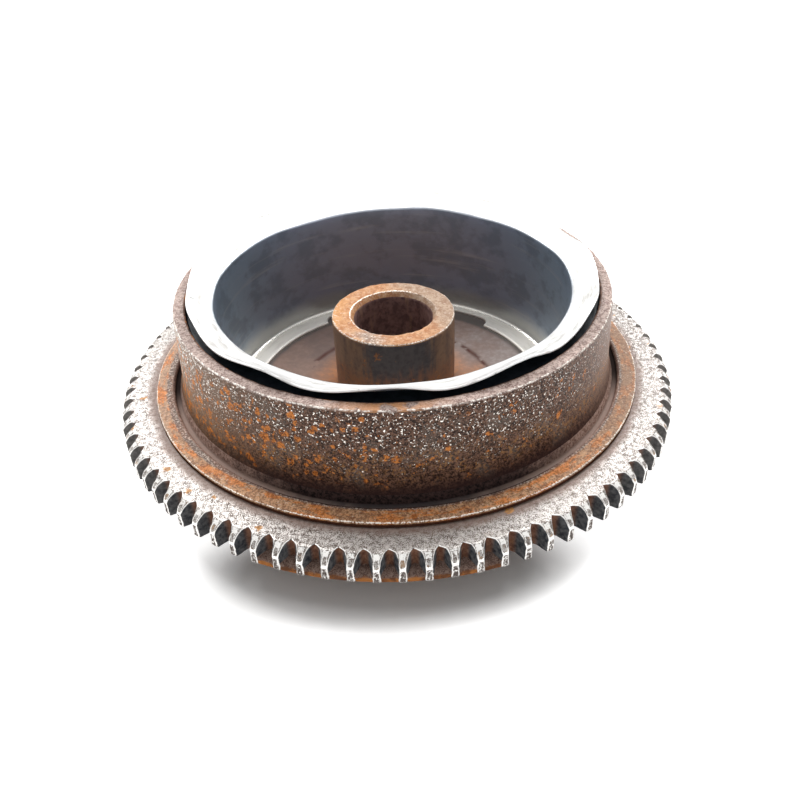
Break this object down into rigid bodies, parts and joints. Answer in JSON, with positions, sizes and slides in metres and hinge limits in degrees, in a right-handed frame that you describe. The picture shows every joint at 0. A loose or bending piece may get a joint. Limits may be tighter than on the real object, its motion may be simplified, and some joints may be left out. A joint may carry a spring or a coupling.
{
  "type": "magneto rotor with starter ring gear",
  "caption": "Steel cup-shaped magneto rotor with a bored hub, curved magnets behind a thin flared liner and a starter ring gear pressed on its base.",
  "frame": {"origin": "on the rotor's axis, at the underside of the hub's foot that it stands on", "axes": "+Z along the rotor's axis, out of the cup's open side; a ring gear tooth lies on -Y"},
  "size_m": [0.174, 0.174, 0.0495],
  "materials": {
    "cup_steel": "matte",
    "hub_steel": "matte",
    "gear_steel": "satin",
    "liner_stainless": "satin",
    "black_resin": "satin",
    "magnet_ferrite": "matte",
    "spacer_plastic": "matte"
  },
  "bodies": {
    "root": {"rotor_cup": "cup_steel", "hub": "hub_steel", "ring_gear": "gear_steel", "magnet_liner": "liner_stainless", "magnet_seat_ring": "spacer_plastic", "potting_ring": "black_resin", "magnet_01": "magnet_ferrite", "magnet_02": "magnet_ferrite", "magnet_03": "magnet_ferrite", "magnet_04": "magnet_ferrite", "magnet_05": "magnet_ferrite", "magnet_06": "magnet_ferrite", "magnet_07": "magnet_ferrite", "magnet_08": "magnet_ferrite", "magnet_09": "magnet_ferrite", "magnet_10": "magnet_ferrite", "magnet_spacer_01": "spacer_plastic", "magnet_spacer_02": "spacer_plastic", "magnet_spacer_03": "spacer_plastic", "magnet_spacer_04": "spacer_plastic", "magnet_spacer_05": "spacer_plastic", "magnet_spacer_06": "spacer_plastic", "magnet_spacer_07": "spacer_plastic", "magnet_spacer_08": "spacer_plastic", "magnet_spacer_09": "spacer_plastic", "magnet_spacer_10": "spacer_plastic"}
  },
  "joints": []
}
